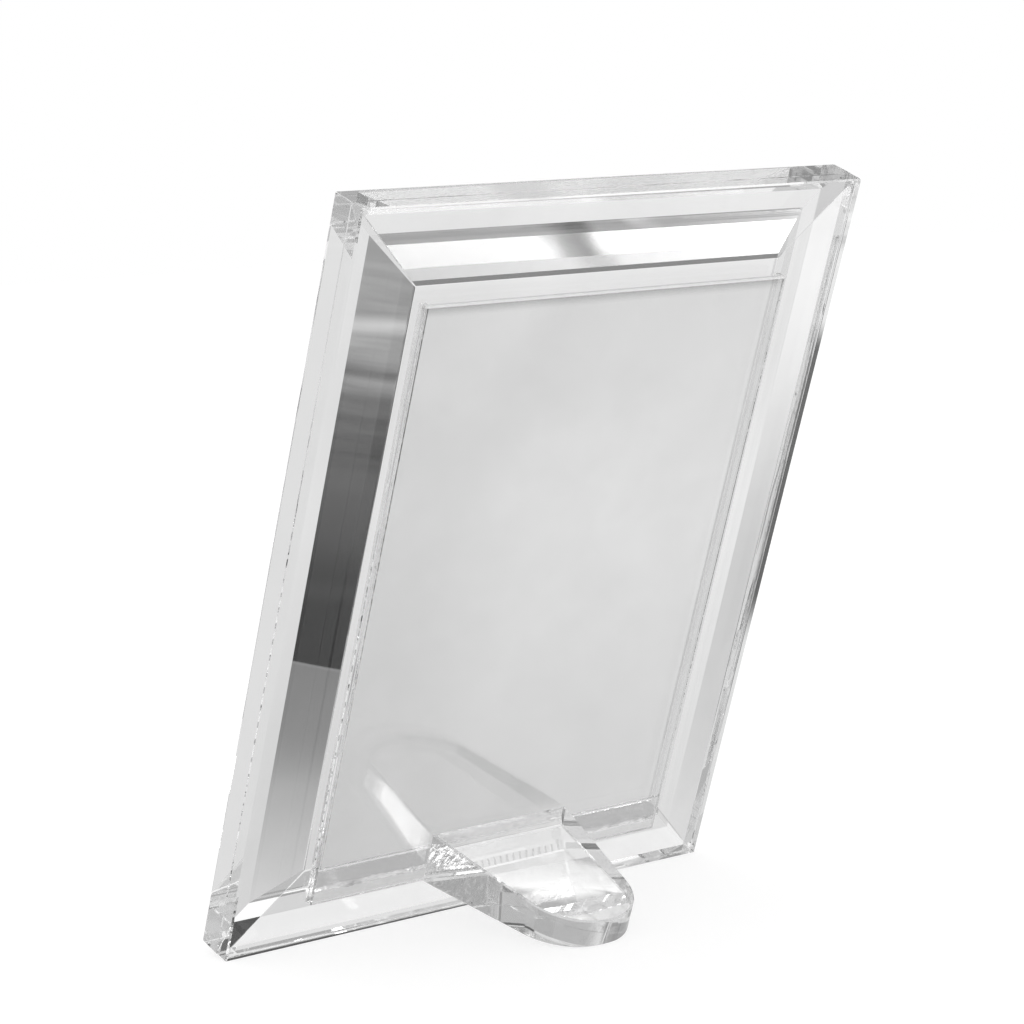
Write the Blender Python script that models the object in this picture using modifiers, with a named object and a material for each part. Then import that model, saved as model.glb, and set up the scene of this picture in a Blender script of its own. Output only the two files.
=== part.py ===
"""Crystal picture frame for a 5 x 7 inch print: a back plate, four mitred bars, a photo panel and a tongue foot.

Every piece is drawn upright in the frame's own directions: X across, Y out of the back, Z up the frame, with
the origin on the bottom edge of the back plate's rear face. One empty then leans them all back onto the foot.
"""

from math import acos, atan2, cos, hypot, pi, radians, sin, tan

import bmesh
import bpy
from mathutils import Matrix, Vector

# Driving dimensions, in metres.

FRAME_WIDTH = 0.181
FRAME_HEIGHT = 0.232

PLATE_THICKNESS = 0.005

BAR_WIDTH = 0.0245          # from the outer side to the window's edge
BAR_HEIGHT = 0.01325        # from the back plate to the flat front land
BAR_SIDE = 0.007            # height of the bar's outer side
BAR_LIP = 0.0006            # small upright edge at the window, under the inner slope
OUTER_SLOPE = radians(45)   # slopes are measured from the plane of the frame
INNER_SLOPE = radians(45)

PHOTO_WIDTH = 0.127         # the print that the slot is made for
PHOTO_HEIGHT = 0.1778
PHOTO_CLEARANCE = 0.00035   # beside the print, on each side
PHOTO_GRIP = 0.001          # how far the print stands above the panel, to be pulled out by
SLOT_DEPTH = 0.001          # between the back plate and the photo panel

PANEL_THICKNESS = 0.002
SIDE_STRIP = 0.002          # width of the clear strips at the panel's two sides
BOTTOM_STRIP = 0.0114       # height of the clear strip that the print stands on

FOOT_WIDTH = 0.051          # where it meets the panel
FOOT_LENGTH = 0.055         # from the panel to the round end
FOOT_END_RADIUS = 0.0187
FOOT_HEIGHT = 0.0166        # where it meets the panel
FOOT_TOP_FALL = radians(1.9)
FOOT_BOTTOM_RISE = radians(6)
FOOT_END_STEPS = 32         # flats that the round end is made of

PLATE_GROUND = 0.0012       # width of bottom face that is ground level with the table, at the plate's rear edge
FOOT_GROUND = 0.0025        # and length of the foot's underside, at its round end

BOND_GAP = 0.0003           # line of clear adhesive between two bonded faces
ARRIS = 0.0005              # polished chamfer along free edges

# Places that follow from the driving dimensions.

BAR_SEAT = -PLATE_THICKNESS - BOND_GAP
PHOTO_BOTTOM = (FRAME_HEIGHT - PHOTO_HEIGHT) / 2
PANEL_WIDTH = PHOTO_WIDTH + 2 * (PHOTO_CLEARANCE + SIDE_STRIP)
PANEL_BOTTOM = PHOTO_BOTTOM - BOTTOM_STRIP
PANEL_TOP = PHOTO_BOTTOM + PHOTO_HEIGHT - PHOTO_GRIP
STRIP_THICKNESS = SLOT_DEPTH - 2 * BOND_GAP
FOOT_SEAT = SLOT_DEPTH + PANEL_THICKNESS + BOND_GAP

# The frame leans until the ground stretches at the plate's edge and the foot's end both lie on the table.

FOOT_STAND_RUN = FOOT_LENGTH - FOOT_GROUND
FOOT_STAND_HEIGHT = PANEL_BOTTOM + FOOT_STAND_RUN * tan(FOOT_BOTTOM_RISE)
LEAN = atan2(FOOT_STAND_HEIGHT, FOOT_SEAT + FOOT_STAND_RUN + PLATE_GROUND)

COLLECTION = "crystal_picture_frame"


def clear_scene():
    for item in list(bpy.data.objects):
        bpy.data.objects.remove(item, do_unlink=True)


def collection(name):
    made = bpy.data.collections.new(name)
    bpy.context.scene.collection.children.link(made)
    return made


def clear_material(name, colour, roughness, ior):
    """A see-through finish: cut crystal, or the clear strip in the slot."""
    material = bpy.data.materials.new(name)
    material.use_nodes = True
    shader = material.node_tree.nodes["Principled BSDF"]
    shader.inputs["Base Color"].default_value = (*colour, 1)
    shader.inputs["Metallic"].default_value = 0
    shader.inputs["Roughness"].default_value = roughness
    shader.inputs["IOR"].default_value = ior
    shader.inputs["Transmission Weight"].default_value = 1
    return material


def add_object(name, mesh, material, parts, lean):
    mesh.materials.clear()
    mesh.materials.append(material)
    made = bpy.data.objects.new(name, mesh)
    parts.objects.link(made)
    made.parent = lean
    return made


def add_arris(piece):
    """Chamfers the piece's edges; those between the flats of the round end are too shallow to count."""
    bevel = piece.modifiers.new("Arris", "BEVEL")
    bevel.width = ARRIS
    bevel.segments = 1
    bevel.limit_method = "ANGLE"
    bevel.angle_limit = radians(30)


def box_mesh(name, low, high):
    """A box between two corners."""
    shape = bmesh.new()
    bmesh.ops.create_cube(shape, size=1)
    size = Vector(high) - Vector(low)
    middle = (Vector(high) + Vector(low)) / 2
    bmesh.ops.scale(shape, vec=size, verts=shape.verts)
    bmesh.ops.translate(shape, vec=middle, verts=shape.verts)
    mesh = bpy.data.meshes.new(name)
    shape.to_mesh(mesh)
    shape.free()
    return mesh


def outline_mesh(name, points, thickness):
    """A flat outline in X and Y, made solid by half its thickness to each side of Z = 0."""
    curve = bpy.data.curves.new(name, "CURVE")
    curve.dimensions = "2D"
    curve.fill_mode = "BOTH"
    curve.extrude = thickness / 2
    line = curve.splines.new("POLY")
    line.points.add(len(points) - 1)
    for point, (x, y) in zip(line.points, points):
        point.co = (x, y, 0, 1)
    line.use_cyclic_u = True
    drawn = bpy.data.objects.new(name, curve)
    bpy.context.scene.collection.objects.link(drawn)
    graph = bpy.context.evaluated_depsgraph_get()
    mesh = bpy.data.meshes.new_from_object(drawn.evaluated_get(graph))
    bpy.data.objects.remove(drawn, do_unlink=True)
    bpy.data.curves.remove(curve)
    shape = bmesh.new()
    shape.from_mesh(mesh)
    bmesh.ops.remove_doubles(shape, verts=shape.verts, dist=0.000001)
    bmesh.ops.dissolve_limit(shape, angle_limit=radians(0.5), verts=shape.verts, edges=shape.edges)
    bmesh.ops.recalc_face_normals(shape, faces=shape.faces)
    shape.to_mesh(mesh)
    shape.free()
    return mesh


def cut(mesh, point, outward):
    """Cuts away what lies beyond a plane, and closes the cut."""
    shape = bmesh.new()
    shape.from_mesh(mesh)
    everything = shape.verts[:] + shape.edges[:] + shape.faces[:]
    result = bmesh.ops.bisect_plane(
        shape, geom=everything, dist=0.0000001, plane_co=point, plane_no=outward, clear_outer=True
    )
    rim = [item for item in result["geom_cut"] if isinstance(item, bmesh.types.BMEdge)]
    bmesh.ops.contextual_create(shape, geom=rim)
    bmesh.ops.recalc_face_normals(shape, faces=shape.faces)
    shape.to_mesh(mesh)
    shape.free()


def bar_profile():
    """The bar's section: across from the outer side, and forward from its bonded face."""
    outer_run = (BAR_HEIGHT - BAR_SIDE) / tan(OUTER_SLOPE)
    inner_run = (BAR_HEIGHT - BAR_LIP) / tan(INNER_SLOPE)
    return [
        (0, 0),
        (BAR_WIDTH, 0),
        (BAR_WIDTH, BAR_LIP),
        (BAR_WIDTH - inner_run, BAR_HEIGHT),
        (outer_run, BAR_HEIGHT),
        (0, BAR_SIDE),
    ]


def bar_mesh(name, length):
    """A mitred bar lying along X at the bottom of the frame, centred on X = 0."""
    mesh = outline_mesh(name, bar_profile(), length)
    # The section's own X points up the frame, its Y to the front, and the extrusion runs along the bar.
    mesh.transform(Matrix(((0, 0, 1, 0), (0, -1, 0, BAR_SEAT), (1, 0, 0, 0), (0, 0, 0, 1))))
    mitre_gap = BOND_GAP / 2 / sin(pi / 4)
    for side in (-1, 1):
        cut(mesh, Vector((side * (length / 2 - mitre_gap), 0, 0)), Vector((side, 0, 1)))
    return mesh


def add_bars(material, parts, lean):
    """Four bars: each is drawn as the bottom one, turned to its side and set at the frame's edge."""
    middle = FRAME_HEIGHT / 2
    places = {
        "bar_bottom": (FRAME_WIDTH, 0, middle),
        "bar_left": (FRAME_HEIGHT, 1, FRAME_WIDTH / 2),
        "bar_top": (FRAME_WIDTH, 2, middle),
        "bar_right": (FRAME_HEIGHT, 3, FRAME_WIDTH / 2),
    }
    for name, (length, turns, reach) in places.items():
        mesh = bar_mesh(name, length)
        mesh.transform(Matrix.Translation((0, 0, -reach)))
        bar = add_object(name, mesh, material, parts, lean)
        bar.location = (0, 0, middle)
        bar.rotation_euler = (0, turns * pi / 2, 0)


def add_back_plate(material, parts, lean, table):
    half = FRAME_WIDTH / 2
    mesh = box_mesh("back_plate", (-half, -PLATE_THICKNESS, 0), (half, 0, FRAME_HEIGHT))
    plate = add_object("back_plate", mesh, material, parts, lean)
    add_arris(plate)
    grind_level(plate, table)


def add_photo_panel(material, parts, lean):
    half = PANEL_WIDTH / 2
    low = (-half, SLOT_DEPTH, PANEL_BOTTOM)
    high = (half, SLOT_DEPTH + PANEL_THICKNESS, PANEL_TOP)
    add_arris(add_object("photo_panel", box_mesh("photo_panel", low, high), material, parts, lean))


def add_slot_strips(material, parts, lean):
    """Clear strips in the slot, behind the panel's sides and bottom: they hold the panel off the back plate."""
    half = PANEL_WIDTH / 2
    near = BOND_GAP
    far = BOND_GAP + STRIP_THICKNESS
    side_bottom = PANEL_BOTTOM + BOTTOM_STRIP + BOND_GAP
    strips = {
        "slot_strip_bottom": ((-half, near, PANEL_BOTTOM), (half, far, PANEL_BOTTOM + BOTTOM_STRIP)),
        "slot_strip_left": ((-half, near, side_bottom), (-half + SIDE_STRIP, far, PANEL_TOP)),
        "slot_strip_right": ((half - SIDE_STRIP, near, side_bottom), (half, far, PANEL_TOP)),
    }
    for name, (low, high) in strips.items():
        add_object(name, box_mesh(name, low, high), material, parts, lean)


def foot_outline():
    """The foot from above: straight tapered sides, tangent to a round end. X across, Y out of the back."""
    centre = FOOT_LENGTH - FOOT_END_RADIUS
    half = FOOT_WIDTH / 2
    # Seen from the circle's centre, the wide corner lies below the X axis, and the tangent point above it.
    below = atan2(centre, half)
    between = acos(FOOT_END_RADIUS / hypot(half, centre))
    taper = between - below
    points = [(half, 0)]
    for step in range(FOOT_END_STEPS + 1):
        angle = taper + (pi - 2 * taper) * step / FOOT_END_STEPS
        points.append((FOOT_END_RADIUS * cos(angle), centre + FOOT_END_RADIUS * sin(angle)))
    points.append((-half, 0))
    return points


def add_foot(material, parts, lean, table):
    """A tongue that thins from the panel to its round end; its underside starts at the panel's bottom edge."""
    mesh = outline_mesh("foot", foot_outline(), 3 * FOOT_HEIGHT)
    middle = PANEL_BOTTOM + FOOT_HEIGHT / 2
    mesh.transform(Matrix.Translation((0, FOOT_SEAT, middle)))
    top = Vector((0, FOOT_SEAT, PANEL_BOTTOM + FOOT_HEIGHT))
    cut(mesh, top, Vector((0, sin(FOOT_TOP_FALL), cos(FOOT_TOP_FALL))))
    bottom = Vector((0, FOOT_SEAT, PANEL_BOTTOM))
    cut(mesh, bottom, Vector((0, sin(FOOT_BOTTOM_RISE), -cos(FOOT_BOTTOM_RISE))))
    foot = add_object("foot", mesh, material, parts, lean)
    add_arris(foot)
    grind_level(foot, table)


def add_table_cutter():
    """A block whose top is the table, Z = 0: what reaches into it is ground away from the plate and the foot."""
    cutters = collection("cutters")
    low = (-FRAME_WIDTH, -FRAME_HEIGHT, -FRAME_WIDTH)
    high = (FRAME_WIDTH, FRAME_HEIGHT, 0)
    cutter = bpy.data.objects.new("table_cutter", box_mesh("table_cutter", low, high))
    cutters.objects.link(cutter)
    cutter.hide_render = True
    cutter.display_type = "WIRE"
    return cutter


def grind_level(piece, table):
    grinding = piece.modifiers.new("Ground level", "BOOLEAN")
    grinding.operation = "DIFFERENCE"
    grinding.solver = "EXACT"
    grinding.object = table


def add_lean(parts):
    """The empty that leans the frame, with its table plane at Z = 0 and its footprint centred on Y = 0."""
    bar_fronts = [(BAR_SEAT - forward) * cos(LEAN) + across * sin(LEAN) for across, forward in bar_profile()]
    back = (FRAME_HEIGHT - ARRIS) * sin(LEAN)
    lean = bpy.data.objects.new("lean", None)
    parts.objects.link(lean)
    lean.rotation_euler = (-LEAN, 0, 0)
    lean.location = (0, -(min(bar_fronts) + back) / 2, -PLATE_GROUND * sin(LEAN))
    return lean


def main():
    clear_scene()
    parts = collection(COLLECTION)
    crystal = clear_material("cut_crystal", (0.99, 0.99, 0.99), 0.0, 1.52)
    strip = clear_material("clear_strip", (0.97, 0.97, 0.97), 0.15, 1.49)
    lean = add_lean(parts)
    table = add_table_cutter()
    add_back_plate(crystal, parts, lean, table)
    add_bars(crystal, parts, lean)
    add_photo_panel(crystal, parts, lean)
    add_slot_strips(strip, parts, lean)
    add_foot(crystal, parts, lean, table)
    bpy.context.view_layer.update()


main()
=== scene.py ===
from math import asin, cos, degrees, radians, sin

import bmesh
import bpy
from mathutils import Matrix, Vector


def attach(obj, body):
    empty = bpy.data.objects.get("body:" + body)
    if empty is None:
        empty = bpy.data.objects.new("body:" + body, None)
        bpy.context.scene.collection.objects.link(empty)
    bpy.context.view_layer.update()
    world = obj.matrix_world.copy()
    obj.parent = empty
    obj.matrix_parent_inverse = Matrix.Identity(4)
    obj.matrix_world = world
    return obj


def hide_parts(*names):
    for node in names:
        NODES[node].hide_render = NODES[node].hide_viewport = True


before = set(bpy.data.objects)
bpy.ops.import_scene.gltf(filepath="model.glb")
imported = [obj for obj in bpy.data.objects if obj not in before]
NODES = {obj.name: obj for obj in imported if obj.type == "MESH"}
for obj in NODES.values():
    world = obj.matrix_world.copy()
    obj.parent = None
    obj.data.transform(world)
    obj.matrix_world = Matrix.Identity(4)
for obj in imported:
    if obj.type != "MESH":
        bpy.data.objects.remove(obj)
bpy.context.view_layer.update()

MM = 0.001
SAME_PLACE = 0.00001      # metres: corners this near are one corner, and a point this near a face is on it
ON_THE_CUT = 0.000001     # metres: corners this near a cutting plane are on it

# The frame's own directions, read from the solids: it is drawn upright and then leans back


def plane_normal(node):
    """The direction that most of a flat piece's area faces, towards the back of the frame."""
    best = max(NODES[node].data.polygons, key=lambda face: face.area)
    normal = best.normal.copy()
    return normal if normal.y > 0 else -normal


BACKWARD = plane_normal("back_plate")
LEAN = asin(-BACKWARD.z)
UPWARD = Vector((0, sin(LEAN), cos(LEAN)))
ACROSS = Vector((1, 0, 0))
TURN = Matrix((ACROSS, BACKWARD, UPWARD)).transposed()


def lean_extent(node):
    """Lowest and highest corner of a node in the frame's own directions: across, out of the back, and up."""
    points = [TURN.transposed() @ corner.co for corner in NODES[node].data.vertices]
    low = Vector(min(point[k] for point in points) for k in range(3))
    high = Vector(max(point[k] for point in points) for k in range(3))
    return low, high


# Colours and nodes

def colour(code):
    """An sRGB hex colour as linear red, green, blue and alpha."""
    channels = [int(code[k:k + 2], 16) / 255 for k in (1, 3, 5)]
    linear = [c / 12.92 if c <= 0.04045 else ((c + 0.055) / 1.055) ** 2.4 for c in channels]
    return (*linear, 1.0)


def add_node(tree, kind, inputs, output=0, **settings):
    """Adds a node with its settings, links or sets each input, and gives the output asked for."""
    node = tree.nodes.new(kind)
    for name, value in settings.items():
        setattr(node, name, value)
    for socket, value in inputs.items():
        if isinstance(value, bpy.types.NodeSocket):
            tree.links.new(value, node.inputs[socket])
        else:
            node.inputs[socket].default_value = value
    return node.outputs[output] if node.outputs else None


def new_material(name):
    """An empty node material, with the object's own coordinates in metres to place patterns by."""
    material = bpy.data.materials.new(name)
    material.use_nodes = True
    material.node_tree.nodes.clear()
    place = add_node(material.node_tree, "ShaderNodeTexCoord", {}, "Object")
    return material, material.node_tree, place


def per_metre(millimetres):
    """The scale of a pattern whose features are this far apart."""
    return 1000 / millimetres


NOISE_LOW, NOISE_HIGH = 0.3, 0.7   # most values of a noise pattern lie between these
CRYSTAL_IOR = 1.517
BOND_IOR = 1.03             # of the film between two pieces, against the crystal on both sides
STRIP_IOR = 1.47
FILM_PATCHES = 26           # mm from one patch of the film to the next
# Painted shade: the panel's tint turns grey in a band just below its top edge, for the shade there
PAINTED_SHADE_STARTS = 4.0 * MM   # below the height where it ends
PAINTED_SHADE_IS_FULL = 0.2 * MM  # below that height too
PAINTED_SHADE_GREY = "#BEBEBE"
DUST_GREY = "#8E8E8E"


def polished(name, wave, wave_height, film, specks, painted_shade_top=None):
    """Ground and polished crystal: the wheel leaves a slow wave, and handling a thin film and some dust.

    In millimetres, wave and wave_height are the wave's length and depth, and specks start with the dust's
    spacing and radius, before the share of places that have some. film is the pair of tints that it varies
    between. The last argument, if given, is a height in metres: just below it the tint turns grey, which is
    painted shade under the panel's top edge.
    """
    material, tree, place = new_material(name)
    waves = add_node(
        tree, "ShaderNodeTexNoise", {"Vector": place, "Scale": per_metre(wave), "Detail": 1.0},
    )
    bump = add_node(tree, "ShaderNodeBump", {"Height": waves, "Strength": 1.0, "Distance": wave_height * MM})
    cloud = add_node(
        tree, "ShaderNodeTexNoise",
        {"Vector": place, "Scale": per_metre(FILM_PATCHES), "Detail": 3.0, "Roughness": 0.7},
    )
    clean = add_node(
        tree, "ShaderNodeMapRange", {"Value": cloud, "From Min": NOISE_LOW, "From Max": NOISE_HIGH},
    )
    tint = add_node(
        tree, "ShaderNodeMix", {"Factor": clean, "A": colour(film[0]), "B": colour(film[1])}, "Result",
        data_type="RGBA",
    )
    # Painted shade: the tint turns grey in a band just below the given height
    if painted_shade_top is not None:
        height = add_node(
            tree, "ShaderNodeVectorMath", {0: place, 1: UPWARD}, "Value", operation="DOT_PRODUCT",
        )
        painted_shade = add_node(
            tree, "ShaderNodeMapRange",
            {"Value": height, "From Min": painted_shade_top - PAINTED_SHADE_STARTS, "From Max": painted_shade_top - PAINTED_SHADE_IS_FULL},
            interpolation_type="SMOOTHSTEP",
        )
        tint = add_node(
            tree, "ShaderNodeMix", {"Factor": painted_shade, "A": tint, "B": colour(PAINTED_SHADE_GREY)}, "Result",
            data_type="RGBA",
        )
    spacing, radius, share = specks
    cells = add_node(tree, "ShaderNodeTexVoronoi", {"Vector": place, "Scale": per_metre(spacing)}).node
    near = add_node(
        tree, "ShaderNodeMapRange",
        {
            "Value": cells.outputs["Distance"],
            "From Min": radius / spacing, "From Max": 0.5 * radius / spacing,
        },
    )
    red = add_node(tree, "ShaderNodeSeparateColor", {"Color": cells.outputs["Color"]}, "Red")
    picked = add_node(tree, "ShaderNodeMath", {0: red, 1: share}, operation="LESS_THAN")
    speck = add_node(tree, "ShaderNodeMath", {0: near, 1: picked}, operation="MULTIPLY")
    shade = add_node(
        tree, "ShaderNodeMix", {"Factor": speck, "A": tint, "B": colour(DUST_GREY)}, "Result",
        data_type="RGBA",
    )
    through = add_node(tree, "ShaderNodeMath", {0: 1.0, 1: speck}, operation="SUBTRACT")
    shader = add_node(
        tree, "ShaderNodeBsdfPrincipled",
        {
            "Base Color": shade, "Normal": bump, "Roughness": 0.0, "IOR": CRYSTAL_IOR,
            "Transmission Weight": through,
        },
    )
    add_node(tree, "ShaderNodeOutputMaterial", {"Surface": shader})
    return material


def clear_bond():
    """UV-cured adhesive between two polished faces: it takes up the crystal's index, so a joint hardly shows.
    The fine lumps are where it set unevenly."""
    material, tree, place = new_material("clear_bonding_adhesive")
    lumps = add_node(tree, "ShaderNodeTexNoise", {"Vector": place, "Scale": per_metre(9), "Detail": 2.0})
    tint = add_node(
        tree, "ShaderNodeMix", {"Factor": lumps, "A": colour("#FAFAFA"), "B": colour("#FFFFFF")}, "Result",
        data_type="RGBA",
    )
    shader = add_node(
        tree, "ShaderNodeBsdfPrincipled",
        {"Base Color": tint, "Roughness": 0.0, "IOR": BOND_IOR, "Transmission Weight": 1.0},
    )
    add_node(tree, "ShaderNodeOutputMaterial", {"Surface": shader})
    return material


def pressed_strip():
    """Clear adhesive strip, pressed by hand: small wrinkles along its free edges."""
    material, tree, place = new_material("pressed_adhesive_strip")
    lumps = add_node(tree, "ShaderNodeTexNoise", {"Vector": place, "Scale": per_metre(3), "Detail": 3.0})
    bump = add_node(tree, "ShaderNodeBump", {"Height": lumps, "Strength": 1.0, "Distance": 0.2 * MM})
    tint = add_node(
        tree, "ShaderNodeMix", {"Factor": lumps, "A": colour("#F2F2F2"), "B": colour("#FFFFFF")}, "Result",
        data_type="RGBA",
    )
    shader = add_node(
        tree, "ShaderNodeBsdfPrincipled",
        {"Base Color": tint, "Normal": bump, "Roughness": 0.1, "IOR": STRIP_IOR, "Transmission Weight": 1.0},
    )
    add_node(tree, "ShaderNodeOutputMaterial", {"Surface": shader})
    return material


def ground_edge():
    """Edge of thin crystal, ground with fine grit and left unpolished: it scatters all light that meets it,
    so it is pale and satin, with faint wheel marks."""
    material, tree, place = new_material("fine_ground_crystal_edge")
    # The grit's marks are under 0.05 mm: they are drawn ten times as coarse, to show at all
    grit = add_node(tree, "ShaderNodeTexNoise", {"Vector": place, "Scale": per_metre(0.5), "Detail": 2.0})
    bump = add_node(tree, "ShaderNodeBump", {"Height": grit, "Strength": 0.4, "Distance": 0.03 * MM})
    marks = add_node(tree, "ShaderNodeTexNoise", {"Vector": place, "Scale": per_metre(4), "Detail": 3.0})
    tint = add_node(
        tree, "ShaderNodeMix", {"Factor": marks, "A": colour("#F4F4F4"), "B": colour("#FFFFFF")}, "Result",
        data_type="RGBA",
    )
    shader = add_node(
        tree, "ShaderNodeBsdfPrincipled",
        {"Base Color": tint, "Normal": bump, "Roughness": 0.35, "IOR": CRYSTAL_IOR},
    )
    add_node(tree, "ShaderNodeOutputMaterial", {"Surface": shader})
    return material


CRYSTAL = polished("polished_optical_crystal", 34, 0.05, ("#FBFBFB", "#FFFFFF"), (21, 0.35, 0.10))
# The panel's tint turns to a painted shade just below its top edge
PANEL_CRYSTAL = polished(
    "handled_panel_crystal_with_painted_shade", 60, 0.04, ("#EDEDED", "#F0F0F0"), (19, 0.38, 0.14),
    painted_shade_top=lean_extent("photo_panel")[1].z,
)
BOND = clear_bond()
STRIP = pressed_strip()
GROUND = ground_edge()


# Glass pieces

SAME_WAY = 0.5              # least dot product of a face's normal with the way that the face is said to point
FLAT_ANGLE = radians(0.5)   # faces that turn less than this are one flat face
ARRIS_ANGLE = radians(12)   # a sharper turn than this is an edge, a softer one is part of a round
BOND_REACH = 0.45 * MM      # from a bonded face, across its gap and into the neighbour
BOND_FILLED = 0.29 * MM     # of that gap of 0.3 mm, which leaves a film of adhesive
BONDED, UNPOLISHED = 1, 2   # places in a piece's list of materials, after its own finish

INWARD = {"bar_left": ACROSS, "bar_right": -ACROSS, "bar_bottom": UPWARD, "bar_top": -UPWARD}

# How far from a bar's inner edge its arris meets the back plate. The edges are polished by hand: the right
# one only slightly, so its arris would meet the plate beyond that edge, and leaves part of the bar's lip.
ARRIS_IN = {
    "bar_left": 0.132 * MM, "bar_right": -0.24 * MM, "bar_bottom": 0.132 * MM, "bar_top": 0.132 * MM,
}
ARRIS_STEEP = radians(60)   # from the plane of the frame


def welded_copy(node):
    """The node's solid as flat faces with shared corners."""
    shape = bmesh.new()
    shape.from_mesh(NODES[node].data)
    bmesh.ops.remove_doubles(shape, verts=shape.verts, dist=SAME_PLACE)
    bmesh.ops.dissolve_limit(shape, angle_limit=FLAT_ANGLE, verts=shape.verts, edges=shape.edges)
    return shape


def score(shape, point, direction):
    """Cuts a line across the piece's faces, without parting it."""
    everything = shape.verts[:] + shape.edges[:] + shape.faces[:]
    bmesh.ops.bisect_plane(shape, geom=everything, dist=ON_THE_CUT, plane_co=point, plane_no=direction)


def inside_node(node):
    """A test for whether a point is inside a convex node."""
    planes = [(face.center.copy(), face.normal.copy()) for face in NODES[node].data.polygons]

    def test(point):
        return all((point - centre).dot(normal) <= SAME_PLACE for centre, normal in planes)

    return test


INSIDE = {name: inside_node(name) for name in NODES}


def only_touches(node, other):
    """Whether two pieces meet without adhesive: in the mitres, and where the plate meets the bottom strip."""
    mitre = node.startswith("bar_") and other.startswith("bar_")
    return mitre or {node, other} == {"back_plate", "slot_strip_bottom"}


def bonded_faces(shape, neighbours):
    """The faces that lie across a bond from a neighbour."""
    found = []
    for face in shape.faces:
        middle = face.calc_center_median()
        probes = [middle] + [(middle + corner.co) / 2 for corner in face.verts]
        if any(INSIDE[other](probe + face.normal * BOND_REACH) for other in neighbours for probe in probes):
            found.append(face)
    return found


def fill_bond(faces):
    """Draws bonded faces up to the film of adhesive."""
    for face in faces:
        for corner in face.verts:
            corner.co += face.normal * BOND_FILLED


def cut_arris(shape, node):
    """Polishes a steep arris along a bar's inner edge, where it meets the back plate."""
    inward = INWARD[node]
    back_face = lean_extent(node)[1].y
    edge = max(corner.co.dot(inward) for corner in shape.verts)
    point = inward * (edge - ARRIS_IN[node]) + BACKWARD * back_face
    normal = inward * sin(ARRIS_STEEP) - BACKWARD * cos(ARRIS_STEEP)
    everything = shape.verts[:] + shape.edges[:] + shape.faces[:]
    cut = bmesh.ops.bisect_plane(
        shape, geom=everything, dist=ON_THE_CUT, plane_co=point, plane_no=normal, clear_outer=True,
    )
    rim = [item for item in cut["geom_cut"] if isinstance(item, bmesh.types.BMEdge)]
    bmesh.ops.holes_fill(shape, edges=rim, sides=0)


def dress(node, finish, scores=(), fills=False, unpolished=()):
    """Makes a node's visible piece from its solid.

    Scores are lines cut across it. Faces across a bond take the adhesive's finish, and a piece that fills its
    bonds is drawn up to the film. Faces that point an unpolished way stay ground.
    """
    shape = welded_copy(node)
    if node in INWARD:
        cut_arris(shape, node)
    for point, direction in scores:
        score(shape, point, direction)
    shape.normal_update()
    neighbours = [name for name in NODES if name != node and not only_touches(node, name)]
    bonded = bonded_faces(shape, neighbours)
    for face in shape.faces:
        if any(face.normal.dot(direction) > SAME_WAY for direction in unpolished):
            face.material_index = UNPOLISHED
    for face in bonded:
        face.material_index = BONDED
    if fills:
        fill_bond(bonded)
    for face in shape.faces:
        face.smooth = True
    mesh = bpy.data.meshes.new("glass_" + node)
    shape.to_mesh(mesh)
    shape.free()
    mesh.set_sharp_from_angle(angle=ARRIS_ANGLE)
    for material in (finish, BOND, GROUND):
        mesh.materials.append(material)
    piece = bpy.data.objects.new("glass_" + node, mesh)
    bpy.context.scene.collection.objects.link(piece)
    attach(piece, "root")
    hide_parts(node)


def window_planes():
    """The four lines where the bars' inner edges meet the plate."""
    left, right = lean_extent("bar_left"), lean_extent("bar_right")
    bottom, top = lean_extent("bar_bottom"), lean_extent("bar_top")
    return [
        (ACROSS * left[1].x, ACROSS),
        (ACROSS * right[0].x, ACROSS),
        (UPWARD * bottom[1].z, UPWARD),
        (UPWARD * top[0].z, UPWARD),
    ]


def strip_planes():
    """The lines that bound the slot strips' bonds on the plate and the panel."""
    left, right = lean_extent("slot_strip_left"), lean_extent("slot_strip_right")
    bottom = lean_extent("slot_strip_bottom")
    sides = [(ACROSS * corner.x, ACROSS) for corner in (*left, *right)]
    levels = [(UPWARD * corner.z, UPWARD) for corner in (*bottom, *left)]
    return sides + levels


def foot_planes():
    """The four lines that bound the foot's bond on the panel."""
    seat_face = lean_extent("foot")[0].y
    points = [TURN.transposed() @ corner.co for corner in NODES["foot"].data.vertices]
    seat = [point for point in points if point.y < seat_face + SAME_PLACE]
    return [
        (ACROSS * min(p.x for p in seat), ACROSS),
        (ACROSS * max(p.x for p in seat), ACROSS),
        (UPWARD * min(p.z for p in seat), UPWARD),
        (UPWARD * max(p.z for p in seat), UPWARD),
    ]


dress("back_plate", CRYSTAL, window_planes() + strip_planes())
for side in ("bottom", "left", "top", "right"):
    dress("bar_" + side, CRYSTAL, fills=True)
dress("photo_panel", PANEL_CRYSTAL, strip_planes() + foot_planes(), unpolished=(UPWARD,))
dress("foot", CRYSTAL, fills=True)
for side in ("bottom", "left", "right"):
    dress("slot_strip_" + side, STRIP, fills=True)

# Camera: at the photograph's viewing angle. It was fitted in the frame's own directions, from the middle of
# the plate's rear bottom edge, as that edge is before it is ground level.

PLATE_LENGTH = 0.232
CAMERA_LENS = 109.1
CAMERA_SENSOR = 36
CAMERA_NEAR = 0.01
CAMERA_PLACE = Vector((0.55962, 0.60244, 0.48868))
CAMERA_RIGHT = Vector((-0.7826, 0.5931, 0.1890))
CAMERA_DOWN = Vector((0.10784, 0.42825, -0.89720))

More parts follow.
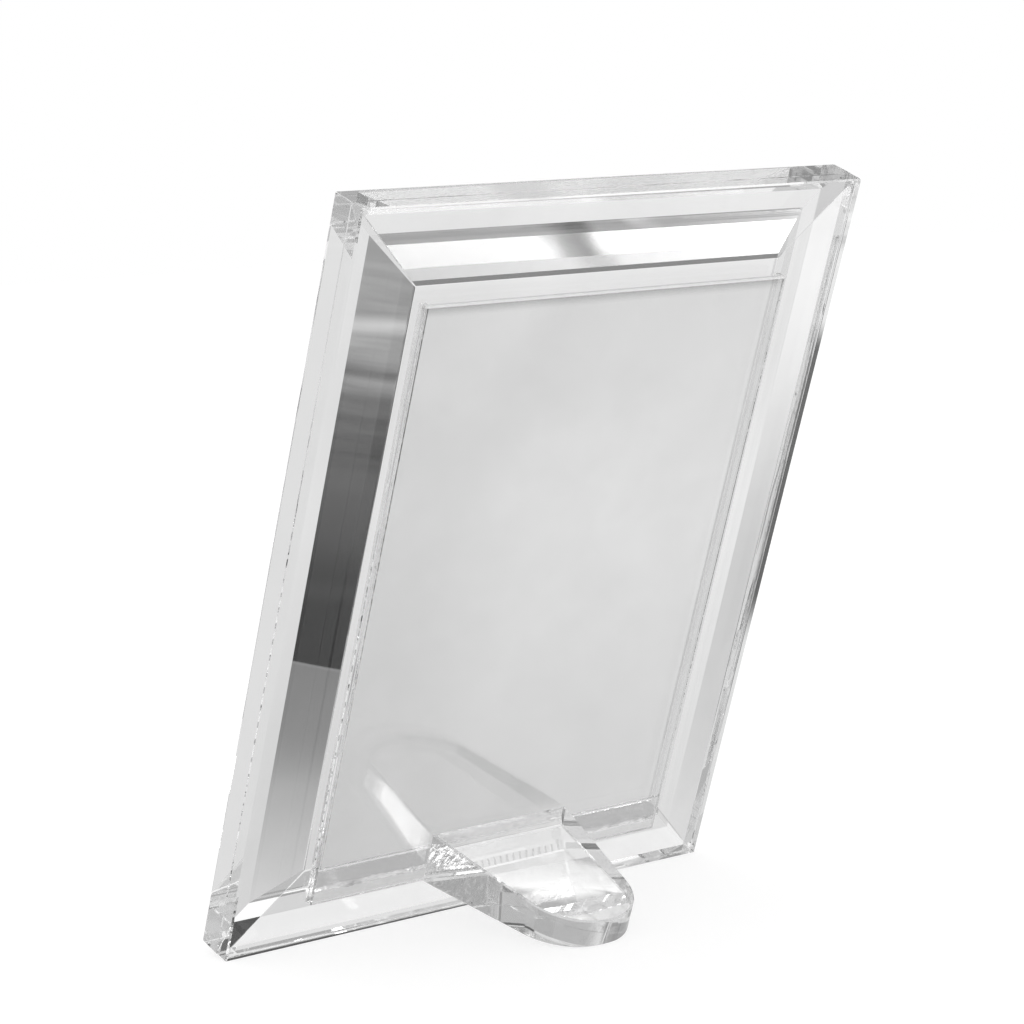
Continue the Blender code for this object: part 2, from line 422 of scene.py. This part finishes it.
plate_high = lean_extent("back_plate")[1]
origin = BACKWARD * plate_high.y + UPWARD * (plate_high.z - PLATE_LENGTH)
camera_data = bpy.data.cameras.new("camera")
camera_data.lens = CAMERA_LENS
camera_data.sensor_width = CAMERA_SENSOR
camera_data.clip_start = CAMERA_NEAR
camera = bpy.data.objects.new("camera", camera_data)
bpy.context.scene.collection.objects.link(camera)
right = (TURN @ CAMERA_RIGHT).normalized()
down = (TURN @ CAMERA_DOWN).normalized()
back = right.cross(-down).normalized()
up = back.cross(right).normalized()
facing = Matrix((right, up, back)).transposed().to_4x4()
camera.matrix_world = Matrix.Translation(origin + TURN @ CAMERA_PLACE) @ facing
bpy.context.scene.camera = camera

# Floor: white paper, which keeps a faint shadow

FLOOR_GLOW = 0.80         # added for the camera alone
FLOOR_HALF = 3.0          # metres from its middle to an edge


def white_paper():
    """Matt white paper: what the camera sees of it is lifted to white, and its shadow stays."""
    material, tree, place = new_material("matt_white_paper")
    grain = add_node(
        tree, "ShaderNodeTexNoise", {"Vector": place, "Scale": per_metre(1.2), "Detail": 3.0},
    )
    tint = add_node(
        tree, "ShaderNodeMix", {"Factor": grain, "A": colour("#8B8B8B"), "B": colour("#919191")}, "Result",
        data_type="RGBA",
    )
    paper = add_node(tree, "ShaderNodeBsdfDiffuse", {"Color": tint})
    seen = add_node(tree, "ShaderNodeLightPath", {}, "Is Camera Ray")
    lift = add_node(tree, "ShaderNodeMath", {0: seen, 1: FLOOR_GLOW}, operation="MULTIPLY")
    glow = add_node(tree, "ShaderNodeEmission", {"Color": colour("#FFFFFF"), "Strength": lift})
    both = add_node(tree, "ShaderNodeAddShader", {0: paper, 1: glow})
    add_node(tree, "ShaderNodeOutputMaterial", {"Surface": both})
    return material


sheet = bmesh.new()
bmesh.ops.create_grid(sheet, x_segments=1, y_segments=1, size=FLOOR_HALF)
sheet_mesh = bpy.data.meshes.new("floor")
sheet.to_mesh(sheet_mesh)
sheet.free()
sheet_mesh.materials.append(white_paper())
floor = bpy.data.objects.new("floor", sheet_mesh)
bpy.context.scene.collection.objects.link(floor)
floor.visible_glossy = False
floor.visible_transmission = False

# Studio, as a pattern on the world: a white sweep and floor, two soft boxes above at one side, and the dim
# room beyond them. Directions are in degrees: across, to the right of the photograph's heading, and up from
# level.

HEADING = Vector((-0.61306, -0.77820, 0))
RIGHTWARD = Vector((-0.77820, 0.61306, 0))
UP = Vector((0, 0, 1))
PLAIN_LIGHT = 1.0
ROOM_TONE = 0.60
DIM_WALL_EDGE = -27.5     # where the sweep ends and the dim wall shows
DIM_WALL_SOFT = 0.8

# name: from and to across, from and to up, half the softness of the sides, of the low edge and of the high
# edge, and the tone at the low edge and at the high one (1 is white); a later card lies over those before it
CARDS = {
    "floor": (-200, 200, -100, -2.4, 1, 0.6, 0.6, 0.86, 0.86),
    "floor near the frame": (-200, 60, -100, -10, 1, 2, 3, 0.74, 0.74),
    "frame's own shade": (18, 36, -55, -41, 2, 1.5, 1.5, 0.52, 0.52),
    "floor at the right": (60, 130, -80, -22, 4, 3, 3, 0.58, 0.58),
    "light on that floor": (66, 91.5, -44, -28, 2.5, 3, 3, 0.92, 0.95),
    "lit floor beyond": (92.5, 99, -37, -28, 0.5, 1, 2, 0.95, 0.95),
    "floor behind the camera": (130, 230, -80, -20, 6, 3, 3, 0.75, 0.75),
    "shaded floor ahead": (-20, -12, -33, -27, 1, 1, 1, 0.28, 0.28),
    "shaded floor aside": (50, 73, -33.5, -24.5, 1, 1, 1, 0.35, 0.35),
    "floor's grey patch": (15.5, 21.5, -29, -23.5, 1, 1, 1, 0.48, 0.48),
    "white sweep": (-25, 37, -3.4, 25, 1, 1.6, 1.6, 0.97, 0.97),
    "sweep's foot": (-4, 7, -6, -1.2, 1.5, 2, 1.5, 0.78, 0.86),
    "sweep's bright top": (30, 46, 21, 27, 2, 1.5, 1, 1.4, 1.4),
    "ceiling": (-60, 34, 28, 40, 3, 2, 0.5, 0.30, 0.30),
    "lit ceiling": (-10, 14.5, 35.1, 41, 1, 0.4, 2, 1.6, 1.2),
    "ceiling's dark patch": (10.9, 12.2, 29, 35.6, 0.5, 2, 0.3, 0.02, 0.02),
    "ceiling's far corner": (-68, -50, 31, 44, 3, 2, 2, 0.85, 0.85),
    "dark behind the ceiling": (10, 17, 43.4, 48.5, 1, 0.6, 1, 0.07, 0.07),
    "light beside it": (18.6, 28, 42.6, 47.5, 0.5, 0.6, 1, 1.45, 1.45),
    "high side light": (-81, -65, 43, 70, 1, 2, 3, 0.85, 0.85),
    "light beside that": (-98, -81, 43, 52, 1, 2, 1, 1.1, 1.1),
    "dark above it": (-95, -81, 54, 60, 1, 1, 2, 0.28, 0.28),
    "dark corner above": (-52, -35, 47.5, 57, 2, 1.5, 1.5, 0.05, 0.05),
    "sweep's far side": (-28, -20, -9.0, -1.0, 3, 3, 3, 0.62, 0.62),
    "dim wall": (-70, DIM_WALL_EDGE, -3.5, 14, DIM_WALL_SOFT, 0.5, 1, 0.30, 0.33),
    "bright fold": (-70, DIM_WALL_EDGE, -0.56, -0.32, DIM_WALL_SOFT, 0.12, 0.12, 0.50, 0.50),
    "dark fold": (-70, DIM_WALL_EDGE, -1.42, -1.22, DIM_WALL_SOFT, 0.12, 0.12, 0.15, 0.15),
    "dim wall's middle": (-70, DIM_WALL_EDGE, -5.6, -1.72, DIM_WALL_SOFT, 0.5, 0.12, 0.01, 0.15),
    "dim wall's foot": (-70, DIM_WALL_EDGE, -6.75, -5.0, DIM_WALL_SOFT, 0.05, 0.6, 0.003, 0.01),
    "table": (-70, -28, -12, -6.75, DIM_WALL_SOFT, 1, 0.05, 0.78, 0.13),
    "table's far edge": (-70, -28, -8.4, -6.75, DIM_WALL_SOFT, 0.6, 0.05, 0.24, 0.19),
    "side wall": (-125, -93, -18, 4, 4, 4, 4, 0.25, 0.25),
    "dark behind it": (-114.5, -95, -19.5, -11, 1, 1, 2, 0.05, 0.05),
    "dark floor there": (-147.5, -99, -39.5, -26.5, 1.5, 1, 1, 0.07, 0.07),
    "floor beside that": (-97, -66, -40, -33, 1.5, 1.5, 1.5, 0.28, 0.28),
    "dark stand": (-87, -76, -9.9, -4.7, 2, 0.6, 0.3, 0.05, 0.08),
    "upper side wall": (-140, -58, 22, 40, 6, 4, 4, 0.50, 0.50),
    "soft box's dim side": (96, 130, 24.5, 42, 2, 1, 1, 1.2, 1.2),
    "soft box": (74, 98, 26.5, 42, 1, 1.5, 1, 2.6, 6.0),
    "soft box's bright end": (82, 88, 24, 28.5, 1, 1, 1, 3.2, 3.2),
    "soft box's strut": (91.95, 92.6, 32.2, 36, 0.25, 0.4, 0.4, 1.5, 1.5),
    "soft box's skirt": (98, 118, 13, 25.5, 2, 2, 1, 0.40, 0.45),
    "second soft box": (36, 56, 44, 60, 2, 1, 1, 2.8, 2.8),
    "gap beside it": (64, 90, 43.4, 49.5, 2, 0.4, 1, 0.20, 0.20),
    "wall above the gap": (70, 82, 49.6, 57, 1, 0.6, 1, 0.80, 0.80),
    "gap's high corner": (64, 73.2, 48, 52.2, 1, 1, 0.5, 0.20, 0.20),
    "room under the soft box": (97, 130, -2, 8, 1.5, 1.5, 1.5, 0.35, 0.45),
}

world = bpy.data.worlds.new("studio")
bpy.context.scene.world = world
world.use_nodes = True
tree = world.node_tree
tree.nodes.clear()

sight = add_node(tree, "ShaderNodeTexCoord", {}, "Generated")
ahead, aside, above = (
    add_node(tree, "ShaderNodeVectorMath", {0: sight, 1: axis}, "Value", operation="DOT_PRODUCT")
    for axis in (HEADING, RIGHTWARD, UP)
)
sideways, upwards = (
    add_node(tree, "ShaderNodeMath", {0: angle, 1: degrees(1)}, operation="MULTIPLY")
    for angle in (
        add_node(tree, "ShaderNodeMath", {0: aside, 1: ahead}, operation="ARCTAN2"),
        add_node(tree, "ShaderNodeMath", {0: above}, operation="ARCSINE"),
    )
)


def within(*edges):
    """How far a direction lies within soft edges: each has its angle, its place and half its softness, which
    is negative where the inside is below the edge."""
    share = 1.0
    for angle, edge, soft in edges:
        past_edge = add_node(
            tree, "ShaderNodeMapRange", {"Value": angle, "From Min": edge - soft, "From Max": edge + soft},
            interpolation_type="SMOOTHSTEP",
        )
        share = add_node(tree, "ShaderNodeMath", {0: share, 1: past_edge}, operation="MULTIPLY")
    return share


tone = ROOM_TONE
for start, end, low, high, soft_sides, soft_low, soft_high, low_tone, high_tone in CARDS.values():
    inside = within(
        (sideways, start, soft_sides), (sideways, end, -soft_sides),
        (upwards, low, soft_low), (upwards, high, -soft_high),
    )
    card_tone = low_tone
    if high_tone != low_tone:
        card_tone = add_node(
            tree, "ShaderNodeMapRange",
            {"Value": upwards, "From Min": low, "From Max": high, "To Min": low_tone, "To Max": high_tone},
        )
    tone = add_node(tree, "ShaderNodeMix", {"Factor": inside, "A": tone, "B": card_tone})

# Folds of a curtain on the dim wall, seen as level streaks
FOLDS_LOW, FOLDS_HIGH = -3.2, 0.6
FOLD_STRETCH = 0.08       # a fold's height for its length
FOLD_SCALE = 1.9          # folds to a degree
FOLD_DARKEST, FOLD_BRIGHTEST = 0.55, 1.5

squeezed = add_node(tree, "ShaderNodeMath", {0: sideways, 1: FOLD_STRETCH}, operation="MULTIPLY")
stretched = add_node(tree, "ShaderNodeCombineXYZ", {"X": squeezed, "Y": upwards})
folds = add_node(
    tree, "ShaderNodeTexNoise",
    {"Vector": stretched, "Scale": FOLD_SCALE, "Detail": 3.0, "Roughness": 0.6},
)
streak = add_node(
    tree, "ShaderNodeMapRange",
    {
        "Value": folds, "From Min": NOISE_LOW, "From Max": NOISE_HIGH,
        "To Min": FOLD_DARKEST, "To Max": FOLD_BRIGHTEST,
    },
)
curtain = within(
    (sideways, DIM_WALL_EDGE, -DIM_WALL_SOFT), (upwards, FOLDS_LOW, 0.5), (upwards, FOLDS_HIGH, -1.0),
)
streak = add_node(tree, "ShaderNodeMix", {"Factor": curtain, "A": 1.0, "B": streak})
tone = add_node(tree, "ShaderNodeMath", {0: tone, 1: streak}, operation="MULTIPLY")

# The sweep is a little darker on the left of a slanted line
SLANT = 0.16
SHADE_START, SHADE_END = -12, 0.78
SHADED = 0.94

slanted = add_node(
    tree, "ShaderNodeMath", {0: upwards, 1: -SLANT, 2: sideways}, operation="MULTIPLY_ADD",
)
shaded = within((slanted, SHADE_START, 3), (slanted, SHADE_END, -0.7))
darker = add_node(tree, "ShaderNodeMix", {"Factor": shaded, "A": 1.0, "B": SHADED})
tone = add_node(tree, "ShaderNodeMath", {0: tone, 1: darker}, operation="MULTIPLY")

# Rays that glass bends or mirrors see the cards. All others see plain white: the backdrop, and the light on
# matt surfaces.
rays = add_node(tree, "ShaderNodeLightPath", {}).node
in_glass = add_node(
    tree, "ShaderNodeMath", {0: rays.outputs["Is Glossy Ray"], 1: rays.outputs["Is Transmission Ray"]},
    operation="MAXIMUM",
)
level = add_node(tree, "ShaderNodeMix", {"Factor": in_glass, "A": PLAIN_LIGHT, "B": tone})
around = add_node(tree, "ShaderNodeBackground", {"Color": colour("#FFFFFF"), "Strength": level})
add_node(tree, "ShaderNodeOutputWorld", {"Surface": around})
world.cycles.sampling_method = "NONE"

# Light runs to and fro between parallel polished faces: rays that end too soon leave black blocks in corners
BOUNCES = 200
cycles = bpy.context.scene.cycles
cycles.max_bounces = cycles.transmission_bounces = cycles.glossy_bounces = BOUNCES

bpy.context.scene.view_settings.view_transform = "Standard"
